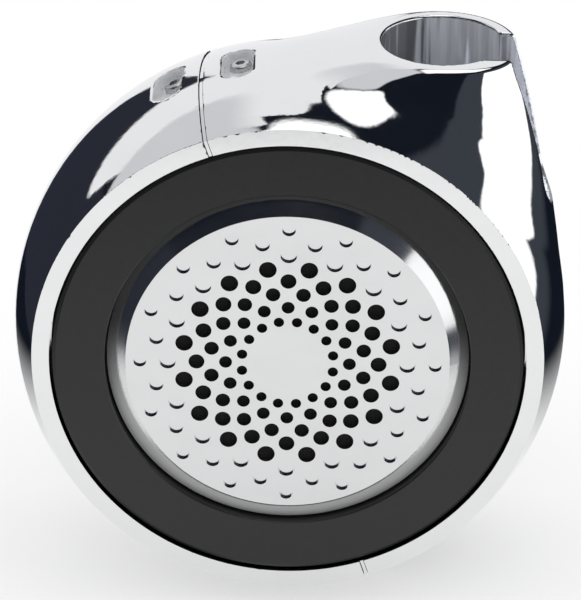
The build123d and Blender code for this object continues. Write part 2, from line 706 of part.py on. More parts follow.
def flap_anchor():
    """Fixed end of the flap, with a stud through the cover."""
    x1 = -FLAP_L / 2
    x0 = x1 - ANCHOR_L
    half = FLAP_H / 2
    pad = block(x0, x1, DRUM_DEPTH - FLAP_T, DRUM_DEPTH, PORT_Z - half, PORT_Z + half)
    return pad + cyl_y(1.4, DRUM_DEPTH - COVER_T - 1.6, DRUM_DEPTH - FLAP_T, (x0 + x1) / 2, PORT_Z)


def build():
    """Every part by name, drawn about the drum."""
    body = housing()
    return {
        "left_shell": body & seam_slab(-200, -SEAM_T / 2),
        "right_shell": body & seam_slab(SEAM_T / 2, 200),
        "seam_strip": seam_strip(),
        "seam_bridge": seam_bridge(),
        "shell_screws": shell_screws(),
        "bezel_ring": bezel_ring(),
        "bezel_gasket": bezel_gasket(),
        "bezel_screws": bezel_screws(),
        "baffle": baffle(),
        "baffle_screws": baffle_screws(),
        "grille": grille(),
        "grille_seal": grille_seal(),
        "acoustic_membrane": acoustic_membrane(),
        "membrane_ring": membrane_ring(),
        "driver_basket": driver_basket(),
        "driver_screws": driver_screws(),
        "top_plate": top_plate(),
        "magnet": magnet(),
        "pole_yoke": pole_yoke(),
        "voice_coil": voice_coil(),
        "cone": cone(),
        "dust_cap": dust_cap(),
        "surround": surround(),
        "spider": spider(),
        "driver_leads": driver_leads(),
        "battery": battery(),
        "battery_cradle": battery_cradle(),
        "cradle_screws": cradle_screws(),
        "battery_leads": battery_leads(),
        "main_board": main_board(),
        "board_chips": board_chips(),
        "board_capacitors": board_capacitors(),
        "board_connectors": board_connectors(),
        "board_screws": board_screws(),
        "charge_socket": charge_socket(),
        "tact_switches": tact_switches(),
        "power_button": button(BUTTON_X[1]),
        "volume_down_button": button(BUTTON_X[2]),
        "volume_up_button": button(BUTTON_X[0]),
        "rear_cover": rear_cover(),
        "cover_gasket": cover_gasket(),
        "cover_screws": cover_screws(),
        "port_flap": port_flap(),
        "flap_anchor": flap_anchor(),
    }


os.makedirs("parts", exist_ok=True)
to_bore = Pos(-BORE_X, -BORE_Y, 0)
for name, shape in build().items():
    export_step(to_bore * shape, f"parts/{name}.step")
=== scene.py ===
import json
import math

import bpy
import numpy as np
from mathutils import Matrix, Vector


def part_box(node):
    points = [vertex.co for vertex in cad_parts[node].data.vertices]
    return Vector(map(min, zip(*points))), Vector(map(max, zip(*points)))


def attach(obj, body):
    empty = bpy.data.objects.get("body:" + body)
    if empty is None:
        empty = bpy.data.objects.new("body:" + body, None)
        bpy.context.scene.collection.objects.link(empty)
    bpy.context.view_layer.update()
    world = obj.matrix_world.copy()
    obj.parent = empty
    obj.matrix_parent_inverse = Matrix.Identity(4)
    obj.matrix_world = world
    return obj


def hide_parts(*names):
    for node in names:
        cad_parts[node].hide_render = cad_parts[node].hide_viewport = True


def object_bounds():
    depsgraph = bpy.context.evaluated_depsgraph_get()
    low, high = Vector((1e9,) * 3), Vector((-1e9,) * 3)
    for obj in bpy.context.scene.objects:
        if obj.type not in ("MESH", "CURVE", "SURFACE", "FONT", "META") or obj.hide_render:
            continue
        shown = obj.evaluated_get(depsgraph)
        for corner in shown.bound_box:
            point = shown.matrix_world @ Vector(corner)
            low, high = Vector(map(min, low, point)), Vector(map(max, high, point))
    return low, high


# Shower speaker: the chromed shells are meshed here from one smooth shape, and every other part is
# the CAD frame's own, with a procedural material. Lengths are millimetres measured from the middle
# of the grille's face (x right, y into the body, z up) unless a name or comment says metres.

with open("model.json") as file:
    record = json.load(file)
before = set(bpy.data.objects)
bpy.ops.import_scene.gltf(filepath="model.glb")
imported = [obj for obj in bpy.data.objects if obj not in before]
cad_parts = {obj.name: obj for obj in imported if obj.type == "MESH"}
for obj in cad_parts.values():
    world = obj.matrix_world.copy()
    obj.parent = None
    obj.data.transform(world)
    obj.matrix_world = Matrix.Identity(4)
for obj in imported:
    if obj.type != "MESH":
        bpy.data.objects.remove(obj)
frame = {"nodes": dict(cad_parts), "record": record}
cad_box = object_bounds()

GRILLE_LOW, GRILLE_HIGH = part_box("grille")
ORIGIN = Vector(((GRILLE_LOW.x + GRILLE_HIGH.x) / 2, GRILLE_LOW.y, (GRILLE_LOW.z + GRILLE_HIGH.z) / 2))
MM = 0.001

# ---- shell shape: as in the CAD, but for the sleeve's lip, its fillet and the small roundings ----
DRUM_R = 70.0
DRUM_DEPTH = 62.0
BULGE_Y = 26.4
FRONT_ARC = 62.7
REAR_ARC = 76.0
REAR_ROUND = 7.5
RIM_IN = 59.8
WALL = 2.6

BORE_X = 37.2
BORE_Y = 33.0
BORE_R = 15.2
SLEEVE_R = 18.6
SLEEVE_TOP = 74.5
TOWER_H = 64.5
TOWER_LOW = -10.0        # it ends there, inside the drum
LEFT_SWEEP = (38.0, 7.5)    # how far that side moves out at most, and the depth it takes to do so
FRONT_SWELL = (1.0, 9.0)
FRONT_SWEEP = (25.0, 60.0)
BACK_SWELL = (5.0, 6.0)
BACK_LEAN = 3.4
RIGHT_LEAN = 13.2
RIGHT_BOW = 0.55
LIP_SQUARENESS = 3.2     # the sleeve's front right quarter, at its rim; 2 would be an oval
LIP_FADE = (10.0, 55.0)  # and it turns into an oval between these depths below the rim
BLEND_WIDTH = (1.0, 7.0)    # of the fillet between sleeve and drum, low down and high up
BLEND_RISE = (18.0, 50.0)
RIM_ROUND = 1.0
MOUTH_ROUND = 0.6
TUBE_R = 18.2
SHOULDER_Z = -46.0
EXIT_R = 12.4

SLOT_W = 17.0
SLOT_Y = 29.5
SLOT_END_Z = 33.0
SLOT_START_X = BORE_X + 8.0
SLOT_WALL = 2.2

SEAM_TILT = math.radians(19.0)
SEAM_HALF = 0.6          # wider than the seam strip, which leaves a fine gap on each side of it
POCKET_ARC = math.radians(7.6)
POCKET_W = 8.2
POCKET_FRONT = 21.2
POCKET_BACK = 40.8
POCKET_FLOOR = 65.6
POCKET_WALL = 1.8
BRIDGE_R = 63.2

BAFFLE_BACK = 9.4
LEDGE_IN = 53.4
LEDGE_T = 2.4
GRILLE_FLAT_R = 40.6
REAR_OPEN_R = 40.0
COVER_SEAT_R = 47.6
COVER_T = 2.4
GASKET_T = 0.7
FLANGE_T = 2.8
COVER_SCREW_R = 44.2
COVER_SCREWS = 6
COVER_LIP = 1.8          # the gasket's width, around the rear opening
COVER_RING_WALL = 2.7
COVER_BOSS = (3.0, 52.0)    # radius, and where it starts
CRADLE_POST_END = -50.0
CRADLE_POST_R = 3.4
CRADLE_POSTS_Y = (21.5, 50.5)
TUBE_FLOOR = 2.4         # thickness of the shoulder at the bore's lower end
EXIT_WALL = 2.0
TOWER_CROWN = 16.5       # how far below the rim the hollow around the bore starts
REAR_OPEN_DEPTH = 8.0

# Small roundings of edges. They are narrower than the grid, so the mesh has a sharp edge there, and
# its normals turn as far as the rounding does.
FRONT_ROUND = 0.05
SLOT_ROUND = 0.7
POCKET_ROUND = 0.6
RIM_IN_ROUND = 0.05
RECESS_ROUND = 0.2
SEAM_ROUND = 0.08
SHARP = 0.02             # what the roundings are multiplied by for the mesh itself
CORNER_INSET = 0.35      # share of the way to a face's middle, where its corners' normals are taken

GRID = 0.75      # spacing of the grid that the shells are meshed on
CENTRING = 0.05          # how strongly each cell's point is held to the middle of its crossings
EDGE_AGREEMENT = 0.985   # a cell is on an edge if its normals' mean is shorter than this


# ---- signed shapes: negative inside ----
def carve(a, b, radius):
    """Where a and b are both negative, with the edge between them rounded."""
    corner = np.hypot(np.maximum(a + radius, 0), np.maximum(b + radius, 0))
    return np.minimum(-radius, np.maximum(a, b)) + corner


def merge(a, b, width):
    """Where a or b is negative, with a smooth fillet of that width between them."""
    share = np.clip(0.5 + 0.5 * (b - a) / width, 0, 1)
    return b * (1 - share) + a * share - width * share * (1 - share)


def ease(value, low, high):
    t = np.clip((value - low) / (high - low), 0, 1)
    return t * t * (3 - 2 * t)


def stadium(across, along, width, low, high):
    """Round-ended strip of that width, between low and high."""
    half = width / 2
    return np.hypot(across, along - np.clip(along, low + half, high - half)) - half


def drum(x, y, z):
    arc = np.where(y < BULGE_Y, FRONT_ARC, REAR_ARC)
    bulge = np.hypot(np.hypot(x, z) - (DRUM_R - arc), y - BULGE_Y) - arc
    return carve(bulge, y - DRUM_DEPTH, REAR_ROUND)


def spread(drop, amounts):
    """Grows from 0 towards the first amount, within a depth of about the second."""
    most, depth = amounts
    return most * (1 - np.exp(-drop / depth))


def tower(x, y, z):
    """The sleeve's outer body: an oval that grows from the round rim down into the drum."""
    drop = np.maximum(SLEEVE_TOP - z, 0)
    share = np.minimum(drop / TOWER_H, 1)
    left = BORE_X - SLEEVE_R - spread(drop, LEFT_SWEEP)
    right = BORE_X + SLEEVE_R + RIGHT_LEAN * share * (1 + RIGHT_BOW * (1 - share))
    front = BORE_Y - SLEEVE_R - spread(drop, FRONT_SWELL) - spread(drop, FRONT_SWEEP)
    back = BORE_Y + SLEEVE_R + spread(drop, BACK_SWELL) + BACK_LEAN * share
    half_x = (right - left) / 2
    half_y = (back - front) / 2
    u = (x - (right + left) / 2) / half_x
    v = (y - (back + front) / 2) / half_y
    lip = LIP_SQUARENESS + (2.0 - LIP_SQUARENESS) * ease(drop, *LIP_FADE)
    power = np.where((u > 0) & (v < 0), lip, 2.0)
    u, v = np.maximum(np.abs(u), 1e-6), np.maximum(np.abs(v), 1e-6)
    reach = (u**power + v**power) ** (1 / power)
    steepness = np.hypot(u ** (power - 1) / half_x, v ** (power - 1) / half_y) / reach ** (power - 1)
    return np.maximum((reach - 1) / np.maximum(steepness, 1e-6), TOWER_LOW - z)


def bore_distance(x, y):
    return np.hypot(x - BORE_X, y - BORE_Y)


def bore(x, y, z):
    from_axis = bore_distance(x, y)
    return np.minimum(np.maximum(from_axis - BORE_R, SHOULDER_Z - z), from_axis - EXIT_R)


def slot(x, y, z, grow, x0):
    strip = stadium(y - SLOT_Y, z, SLOT_W + 2 * grow, SLOT_END_Z - grow, 200.0)
    return np.maximum(strip, x0 - x)


def pocket(x, y, z, side, grow, low):
    """Screw pocket on one side of the seam (-1 or 1), from distance low out."""
    angle = side * POCKET_ARC - SEAM_TILT
    across = x * math.cos(angle) - z * math.sin(angle)
    out = x * math.sin(angle) + z * math.cos(angle)
    strip = stadium(across, y, POCKET_W + 2 * grow, POCKET_FRONT - grow, POCKET_BACK + grow)
    return np.maximum(strip, low - out)


def cavity(x, y, z):
    """Space inside the shells."""
    from_axis = np.hypot(x, z)
    space = drum(x, y, z) + WALL
    space = np.minimum(space, np.maximum(tower(x, y, z) + WALL, z - SLEEVE_TOP + TOWER_CROWN))
    space = np.maximum(space, BAFFLE_BACK - y)
    sleeve = np.maximum(bore_distance(x, y) - TUBE_R, SHOULDER_Z - TUBE_FLOOR - z)
    sleeve = np.minimum(sleeve, bore_distance(x, y) - EXIT_R - EXIT_WALL)
    solids = [
        sleeve,
        slot(x, y, z, SLOT_WALL, BORE_X + BORE_R + 0.6),
        np.maximum(LEDGE_IN - from_axis, y - BAFFLE_BACK - LEDGE_T),
        np.maximum(from_axis - COVER_SEAT_R - COVER_RING_WALL, DRUM_DEPTH - COVER_T - FLANGE_T - y),
        pocket(x, y, z, -1, POCKET_WALL, BRIDGE_R),
        pocket(x, y, z, 1, POCKET_WALL, BRIDGE_R),
    ]
    for index in range(COVER_SCREWS):
        angle = math.radians(30 + 360 * index / COVER_SCREWS) - SEAM_TILT
        boss_x, boss_z = COVER_SCREW_R * math.sin(angle), COVER_SCREW_R * math.cos(angle)
        solids.append(np.maximum(np.hypot(x - boss_x, z - boss_z) - COVER_BOSS[0], COVER_BOSS[1] - y))
    for post_y in CRADLE_POSTS_Y:
        solids.append(np.maximum(np.hypot(y - post_y, z) - CRADLE_POST_R, x - CRADLE_POST_END))
    for solid in solids:
        space = np.maximum(space, -solid)
    return space


def housing(x, y, z, edge):
    """Both shells in one piece. Small roundings are multiplied by edge."""
    from_axis = np.hypot(x, z)
    body = merge(
        drum(x, y, z),
        carve(tower(x, y, z), z - SLEEVE_TOP, RIM_ROUND),
        BLEND_WIDTH[0] + (BLEND_WIDTH[1] - BLEND_WIDTH[0]) * ease(z, *BLEND_RISE),
    )
    body = carve(body, -y, FRONT_ROUND * edge)
    body = carve(body, -bore(x, y, z), MOUTH_ROUND)
    body = carve(body, -slot(x, y, z, 0.0, SLOT_START_X), SLOT_ROUND * edge)
    for side in (-1, 1):
        body = carve(body, -pocket(x, y, z, side, 0.0, POCKET_FLOOR), POCKET_ROUND * edge)
    body = carve(body, -np.maximum(from_axis - RIM_IN, y - BAFFLE_BACK), RIM_IN_ROUND * edge)
    for radius, depth in (
        (COVER_SEAT_R, COVER_T),
        (REAR_OPEN_R + COVER_LIP, COVER_T + GASKET_T),
        (REAR_OPEN_R, REAR_OPEN_DEPTH),
    ):
        recess = np.maximum(from_axis - radius, DRUM_DEPTH - depth - y)
        body = carve(body, -recess, RECESS_ROUND * edge)
    return np.maximum(body, -cavity(x, y, z))


def half_shell(side, edge):
    """The shell on one side of the seam: -1 left, 1 right."""

    def shape(x, y, z):
        from_seam = side * (x * math.cos(SEAM_TILT) + z * math.sin(SEAM_TILT))
        return carve(housing(x, y, z, edge), SEAM_HALF - from_seam, SEAM_ROUND * edge)

    return shape


# ---- meshing ----
def slope(shape, points, reach=0.03):
    """Unit gradient of shape at points."""
    gradient = np.empty_like(points)
    for axis in range(3):
        shift = np.zeros(3)
        shift[axis] = reach
        gradient[:, axis] = shape(*(points + shift).T) - shape(*(points - shift).T)
    return gradient / np.maximum(np.linalg.norm(gradient, axis=1, keepdims=True), 1e-9)


def grid_line(low, high, *fine):
    """Grid places from low to high, twice as close in each fine range."""
    places = [low]
    while places[-1] < high:
        close = any(a < places[-1] < b for a, b in fine)
        places.append(places[-1] + GRID * (0.5 if close else 1.0))
    return np.array(places)


def grid_points(axes, corner):
    return np.stack([axes[i][corner[:, i]] for i in range(3)], 1)


def crossings(shape, value, corner, axis, axes):
    """Points where the grid edges along axis, from those corners, meet the surface."""
    other = corner.copy()
    other[:, axis] += 1
    start, end = grid_points(axes, corner), grid_points(axes, other)
    at_start, at_end = value[tuple(corner.T)], value[tuple(other.T)]
    near, far = np.zeros(len(corner)), np.ones(len(corner))
    for _ in range(3):
        t = near + (far - near) * at_start / (at_start - at_end)
        here = shape(*(start + (end - start) * t[:, None]).T)
        same = (here < 0) == (at_start < 0)
        near, at_start = np.where(same, t, near), np.where(same, here, at_start)
        far, at_end = np.where(same, far, t), np.where(same, at_end, here)
    t = near + (far - near) * at_start / (at_start - at_end)
    return start + (end - start) * t[:, None]


def contour(shape, axes):
    """Dual contouring on a grid: points, quads and which points lie on an edge of the shape."""
    value = shape(*np.meshgrid(*axes, indexing="ij"))
    cells = np.array(value.shape)
    inside = value < 0
    hit_sets, quad_sets = [], []
    for axis in range(3):
        first, second = (axis + 1) % 3, (axis + 2) % 3
        lower, upper = [slice(None)] * 3, [slice(None)] * 3
        lower[axis], upper[axis] = slice(None, -1), slice(1, None)
        corner = np.argwhere(inside[tuple(lower)] != inside[tuple(upper)])
        hits = crossings(shape, value, corner, axis, axes)
        around = []
        for a, b in ((-1, -1), (0, -1), (0, 0), (-1, 0)):
            cell = corner.copy()
            cell[:, first] += a
            cell[:, second] += b
            around.append(np.ravel_multi_index(tuple(cell.T), cells))
        quads = np.stack(around, 1)
        solid_first = inside[tuple(corner.T)]
        quads[~solid_first] = quads[~solid_first][:, ::-1]
        hit_sets.append(np.concatenate([hits, slope(shape, hits)], 1))
        quad_sets.append(quads)
    quads = np.concatenate(quad_sets)
    hits = np.concatenate(hit_sets)
    ids, place = np.unique(quads.ravel(), return_inverse=True)
    place = place.reshape(-1)
    hit = np.repeat(hits, 4, axis=0)
    spot, normal = hit[:, :3], hit[:, 3:]
    count = np.bincount(place)

    def total(weights):
        return np.bincount(place, weights=weights)

    middle = np.stack([total(spot[:, i]) / count for i in range(3)], 1)
    offset = ((spot - middle[place]) * normal).sum(1)
    matrix = np.empty((len(ids), 3, 3))
    target = np.empty((len(ids), 3))
    for i in range(3):
        target[:, i] = total(normal[:, i] * offset)
        for j in range(3):
            matrix[:, i, j] = total(normal[:, i] * normal[:, j])
    matrix += CENTRING * np.eye(3)
    move = np.linalg.solve(matrix, target[..., None])[..., 0]
    cell = np.stack(np.unravel_index(ids, cells), 1)
    points = np.clip(middle + move, grid_points(axes, cell), grid_points(axes, cell + 1))
    mean_normal = np.stack([total(normal[:, i]) / count for i in range(3)], 1)
    on_edge = np.linalg.norm(mean_normal, axis=1) < EDGE_AGREEMENT
    return points, place.reshape(-1, 4), on_edge


def split_on_edges(shape, points, quads, on_edge):
    """Quads away from the shape's edges, and triangles along them, split on the better diagonal."""
    sharp = on_edge[quads].any(1)
    folded = quads[sharp]
    middles = [(points[folded[:, i]] + points[folded[:, i + 2]]) / 2 for i in (0, 1)]
    gaps = [np.abs(shape(*middle.T)) for middle in middles]
    turn = (gaps[1] < gaps[0]).astype(int)[:, None]
    folded = np.take_along_axis(folded, (np.arange(4) + turn) % 4, axis=1)
    triangles = np.concatenate([folded[:, (0, 1, 2)], folded[:, (0, 2, 3)]])
    return quads[~sharp], triangles


def corner_normals(shape, points, faces):
    """A normal for each corner of each face, taken a little way in from the corner."""
    corners = points[faces]
    centre = corners.mean(1, keepdims=True)
    probe = (corners + CORNER_INSET * (centre - corners)).reshape(-1, 3)
    return slope(shape, probe)


def shell_object(name, side, axes):
    """One half shell. Its second material is in the bore and the slot, its third in the pockets."""
    sharp_shape = half_shell(side, SHARP)
    points, quads, on_edge = contour(sharp_shape, axes)
    flat, folded = split_on_edges(sharp_shape, points, quads, on_edge)
    flat_normals = slope(sharp_shape, points)[flat].reshape(-1, 3)
    folded_normals = corner_normals(half_shell(side, 1.0), points, folded)
    normals = np.concatenate([flat_normals, folded_normals])
    centre = np.concatenate([points[flat].mean(1), points[folded].mean(1)])
    x, y, z = centre.T
    finish = np.zeros(len(centre), np.int32)
    finish[(bore_distance(x, y) < BORE_R + 0.2) & (z < SLEEVE_TOP - MOUTH_ROUND)] = 1
    finish[(slot(x, y, z, 0.0, SLOT_START_X) < 0.2) & (z < SLEEVE_TOP - 1.0)] = 1
    for pocket_side in (-1, 1):
        finish[pocket(x, y, z, pocket_side, 0.0, POCKET_FLOOR) < 0.2] = 2
    mesh = bpy.data.meshes.new(name)
    mesh.from_pydata((points * MM + np.array(ORIGIN)).tolist(), [], flat.tolist() + folded.tolist())
    mesh.polygons.foreach_set("use_smooth", np.ones(len(centre), bool))
    mesh.polygons.foreach_set("material_index", finish)
    mesh.normals_split_custom_set(normals.tolist())
    shell = bpy.data.objects.new(name, mesh)
    bpy.context.scene.collection.objects.link(shell)
    return shell


# ---- node helpers ----
class Graph:
    """Short calls for building a node tree."""

    def __init__(self, tree):
        self.tree = tree
        tree.nodes.clear()

    def add(self, kind, inputs=(), **settings):
        node = self.tree.nodes.new("ShaderNode" + kind)
        for key, value in settings.items():
            setattr(node, key, value)
        for key, value in dict(inputs).items():
            self.put(node.inputs[key], value)
        return node

    def put(self, socket, value):
        if isinstance(value, bpy.types.NodeSocket):
            self.tree.links.new(value, socket)
        else:
            socket.default_value = value

    def math(self, operation, *values):
        node = self.add("Math", enumerate(values), operation=operation)
        return node.outputs[0]

    def fade(self, value, low, high, from_value=0.0, to_value=1.0):
        """value mapped smoothly from low..high to from_value..to_value."""
        inputs = {0: value, 1: low, 2: high, 3: from_value, 4: to_value}
        return self.add("MapRange", inputs, interpolation_type="SMOOTHSTEP").outputs[0]

    def blend(self, share, a, b):
        """Colour between a and b."""
        node = self.add("Mix", {0: share, 6: a, 7: b}, data_type="RGBA")
        return node.outputs[2]

    def noise(self, scale, detail=3.0, roughness=0.5, where=None):
        inputs = {"Scale": scale, "Detail": detail, "Roughness": roughness}
        if where is not None:
            inputs["Vector"] = where
        return self.add("TexNoise", inputs).outputs[0]

    def place(self, scale=(1, 1, 1)):
        """Object coordinates, in metres, stretched by scale."""
        where = self.add("TexCoord").outputs["Object"]
        return self.add("Mapping", {"Vector": where, "Scale": scale}).outputs[0]


def rgb(color, level=1.0):
    return (color[0] * level, color[1] * level, color[2] * level, 1.0)


def srgb(red, green, blue):
    """Linear colour from 8-bit display values."""
    return tuple(
        c / 255 / 12.92 if c <= 10 else ((c / 255 + 0.055) / 1.055) ** 2.4 for c in (red, green, blue)
    )


# ---- materials ----
def finish_surface(graph, color, roughness, metallic, bump, strength, depth, **sockets):
    """Ends a material: principled surface, with bump of that strength and depth in metres."""
    relief = graph.add("Bump", {"Height": bump, "Strength": strength, "Distance": depth}).outputs[0]
    inputs = {"Base Color": color, "Roughness": roughness, "Metallic": metallic, "Normal": relief}
    for key, value in sockets.items():
        inputs[key.replace("_", " ")] = value
    shader = graph.add("BsdfPrincipled", inputs)
    graph.add("OutputMaterial", {"Surface": shader.outputs[0]})


def new_material(name):
    material = bpy.data.materials.new(name)
    material.use_nodes = True
    return material, Graph(material.node_tree)


BEVEL_FADE_IN = 0.8      # mm
BEVEL_FADE_UP = (-0.018, 0.012)    # heights in metres from the grille's middle
# painted light: how much metallic shine the lower bevel loses, so it shows lit matt grey
BEVEL_PAINTED_LIGHT = 0.6


def bevel_painted_light_share(graph):
    """Painted light: the bevel's set amount of metallic shine taken off the lower part of the grille's
    bevel, fading to 0 above and on its face, so that part shows lit matt grey in place of a bright
    reflection.
    """
    point = graph.add("NewGeometry").outputs["Position"]
    place = graph.add("VectorMath", {0: point, 1: ORIGIN}, operation="SUBTRACT").outputs[0]
    across = graph.add("VectorMath", {0: place, 1: (1, 0, 1)}, operation="MULTIPLY").outputs[0]
    radius = graph.add("VectorMath", {0: across}, operation="LENGTH").outputs["Value"]
    height = graph.add("SeparateXYZ", {0: across}).outputs[2]
    outer = graph.fade(radius, GRILLE_FLAT_R * MM, (GRILLE_FLAT_R + BEVEL_FADE_IN) * MM)
    return graph.math("MULTIPLY", outer, graph.fade(height, *BEVEL_FADE_UP, BEVEL_PAINTED_LIGHT, 0.0))


def plated(name, color, low, high, metallic=1.0, painted_light_share=None):
    """Polished chrome: faint smears in its gloss and tone, and the slight waviness of plating.

    The last argument, if given, gives the share of metallic shine taken off a part of it: painted
    light, which shows that part as lit matt colour in place of a reflection.
    """
    material, graph = new_material(name)
    # painted light: less metallic where the given share says, so that part shows lit matt colour
    if painted_light_share is not None:
        metallic = graph.math("SUBTRACT", metallic, painted_light_share(graph))
    smear = graph.noise(55.0, 5.0, 0.6, graph.place((1, 1, 2.2)))
    fine = graph.noise(1400.0, 2.0)
    gloss = graph.fade(graph.math("MULTIPLY_ADD", fine, 0.25, smear), 0.45, 0.95, low, high)
    tone = graph.blend(graph.fade(smear, 0.35, 0.75), rgb(color), rgb(color, 0.975))
    wave = graph.noise(45.0, 1.0)
    finish_surface(graph, tone, gloss, metallic, wave, 0.05, 0.0002)
    return material


def bored(name, color, left, right):
    """Chromed bore: upright streaks that are painted reflections in its tone and drawing lines in its
    bump, and painted shade darker towards its left side (metres along x).
    """
    material, graph = new_material(name)
    where = graph.add("SeparateXYZ", {0: graph.add("TexCoord").outputs["Object"]}).outputs[0]
    relief_and_painted_reflections = graph.noise(300.0, 2.0, 0.6, graph.place((1, 1, 0.05)))
    relief_and_painted_reflections = graph.math("ADD", relief_and_painted_reflections, graph.fade(where, left, right, -0.06, 0.12))
    # painted reflections and painted shade: the streaks and the left side take the tone down to 0.30 of
    # the chrome colour
    tone = graph.blend(graph.fade(relief_and_painted_reflections, 0.42, 0.60), rgb(color, 0.30), rgb(color))
    gloss = graph.fade(graph.noise(1400.0, 2.0), 0.3, 0.7, 0.08, 0.13)
    finish_surface(graph, tone, gloss, 0.62, relief_and_painted_reflections, 0.1, 0.0001)
    return material


def brushed(name, color, roughness, stretch=(1, 1, 18)):
    """Machined or brushed metal with fine lines along one direction."""
    material, graph = new_material(name)
    lines = graph.noise(1600.0, 3.0, 0.6, graph.place(stretch))
    blotch = graph.noise(120.0, 3.0)
    tone = graph.blend(blotch, rgb(color, 0.85), rgb(color, 1.08))
    gloss = graph.fade(lines, 0.3, 0.7, roughness - 0.08, roughness + 0.1)
    finish_surface(graph, tone, gloss, 1.0, lines, 0.25, 0.00004)
    return material


def moulded(name, color, roughness, grain=2600.0, relief=0.25, depth=0.00005, **sockets):
    """Moulded plastic or rubber: fine grain, slight blotches, scuffs in its gloss."""
    material, graph = new_material(name)
    texture = graph.noise(grain, 2.0)
    blotch = graph.noise(70.0, 4.0)
    scuff = graph.noise(300.0, 6.0, 0.7)
    tone = graph.blend(graph.fade(blotch, 0.3, 0.7), rgb(color, 0.88), rgb(color, 1.12))
    gloss = graph.fade(scuff, 0.3, 0.7, roughness - 0.05, roughness + 0.08)
    finish_surface(graph, tone, gloss, 0.0, texture, relief, depth, **sockets)
    return material


def woven(name, color, thread):
    """Woven cloth with that thread spacing in metres."""
    material, graph = new_material(name)
    where = graph.place()
    waves = [
        graph.add(
            "TexWave",
            {"Vector": where, "Scale": 1 / thread / 20 * math.pi, "Distortion": 0.4},
            bands_direction=direction,
        ).outputs[1]
        for direction in ("X", "Z")
    ]
    weave = graph.math("MAXIMUM", *waves)
    fuzz = graph.noise(4000.0, 2.0)
    tone = graph.blend(weave, rgb(color, 0.55), rgb(color, 1.15))
    finish_surface(graph, tone, 0.9, 0.0, graph.math("MULTIPLY_ADD", fuzz, 0.3, weave), 0.6, 0.0001)
    return material


def circuit(name, color, pad):
    """Lacquered circuit board: copper runs under green lacquer, plated pads and vias."""
    material, graph = new_material(name)
    where = graph.place()
    runs = graph.add(
        "TexBrick",
        {"Vector": graph.add("Mapping", {"Vector": where, "Rotation": (math.pi / 2, 0, 0)}).outputs[0],
         "Scale": 180.0, "Mortar Size": 0.05, "Color1": rgb((1, 1, 1)), "Color2": rgb((1, 1, 1)),
         "Mortar": rgb((0, 0, 0))},
    ).outputs[1]
    vias = graph.add("TexVoronoi", {"Vector": where, "Scale": 260.0}).outputs[0]
    via = graph.fade(vias, 0.10, 0.14, 1.0, 0.0)
    lacquer = graph.blend(runs, rgb(color, 0.7), rgb(color, 1.35))
    tone = graph.blend(via, lacquer, rgb(pad))
    height = graph.math("ADD", runs, via)
    finish_surface(graph, tone, 0.28, 0.0, height, 0.3, 0.00004)
    return material


def ribbed(name, color, pitch):
    """Wound wire with that pitch in metres, around the drum axis."""
    material, graph = new_material(name)
    turns = graph.add(
        "TexWave", {"Vector": graph.place(), "Scale": math.pi / pitch / 20}, bands_direction="Y"
    ).outputs[1]
    tone = graph.blend(turns, rgb(color, 0.45), rgb(color, 1.1))
    finish_surface(graph, tone, 0.32, 0.8, turns, 0.6, 0.0001)
    return material


MATERIALS = {
    "chrome": plated("chrome", (0.83, 0.835, 0.84), 0.035, 0.07),
    # the grille's lower bevel has painted light: less metallic there, so it shows lit matt grey in
    # place of a reflection
    "grille_chrome": plated("grille_chrome", (0.75, 0.755, 0.76), 0.10, 0.17, painted_light_share=bevel_painted_light_share),
    "steel": brushed("steel", (0.62, 0.62, 0.63), 0.3),
    "bezel_black": moulded("bezel_black", (0.0095, 0.0095, 0.0105), 0.36, 3000.0, 0.12),
    "seal_rubber": moulded("seal_rubber", (0.012, 0.012, 0.012), 0.7),
    "inner_plastic": moulded("inner_plastic", (0.035, 0.035, 0.038), 0.5),
    "membrane_fabric": woven("membrane_fabric", (0.006, 0.006, 0.007), 0.0005),
    "basket_black": moulded("basket_black", (0.02, 0.02, 0.021), 0.4, 1500.0, 0.4),
    "ferrite": moulded("ferrite", (0.045, 0.045, 0.05), 0.55, 900.0, 0.5),
    "copper": ribbed("copper", (0.72, 0.33, 0.17), 0.0004),
    "cone_plastic": moulded("cone_plastic", (0.03, 0.03, 0.034), 0.45, 1200.0, 0.3),
    "spider_fabric": woven("spider_fabric", (0.50, 0.33, 0.12), 0.0006),
    "lead_red": moulded("lead_red", (0.45, 0.02, 0.015), 0.35, 1500.0, 0.1),
    "cell_wrap": moulded("cell_wrap", (0.02, 0.09, 0.35), 0.25, 500.0, 0.1, Coat_Weight=0.3),
    "board_green": circuit("board_green", (0.012, 0.13, 0.05), (0.75, 0.62, 0.35)),
    "chip_black": moulded("chip_black", (0.015, 0.015, 0.016), 0.6, 3500.0, 0.4),
    "capacitor_metal": brushed("capacitor_metal", (0.68, 0.68, 0.7), 0.25),
    "connector_cream": moulded("connector_cream", (0.62, 0.57, 0.44), 0.5),
    "socket_steel": brushed("socket_steel", (0.68, 0.68, 0.69), 0.22),
    "button_grey": moulded("button_grey", (0.045, 0.047, 0.052), 0.42, 2200.0, 0.35),
    "cover_black": moulded("cover_black", (0.014, 0.014, 0.016), 0.46, 1800.0, 0.5),
    "flap_rubber": moulded("flap_rubber", (0.022, 0.022, 0.024), 0.62, 1400.0, 0.45),
}

BORE_PAINTED_SHADE = (-13.2, 4.8)    # from the bore's axis: painted shade and reflections make it darker on the left of this stretch
BORE_CHROME = bored(
    "bore_chrome_painted_reflections", (0.90, 0.92, 0.98), *(ORIGIN.x + (BORE_X + place) * MM for place in BORE_PAINTED_SHADE)
)
POCKET_CHROME = plated("pocket_chrome", (0.80, 0.81, 0.83), 0.12, 0.2, 0.35)

for part in frame["record"]["subparts"]:
    node = frame["nodes"][part["node"]]
    node.data.materials.clear()
    node.data.materials.append(MATERIALS[part["material_slot"]])

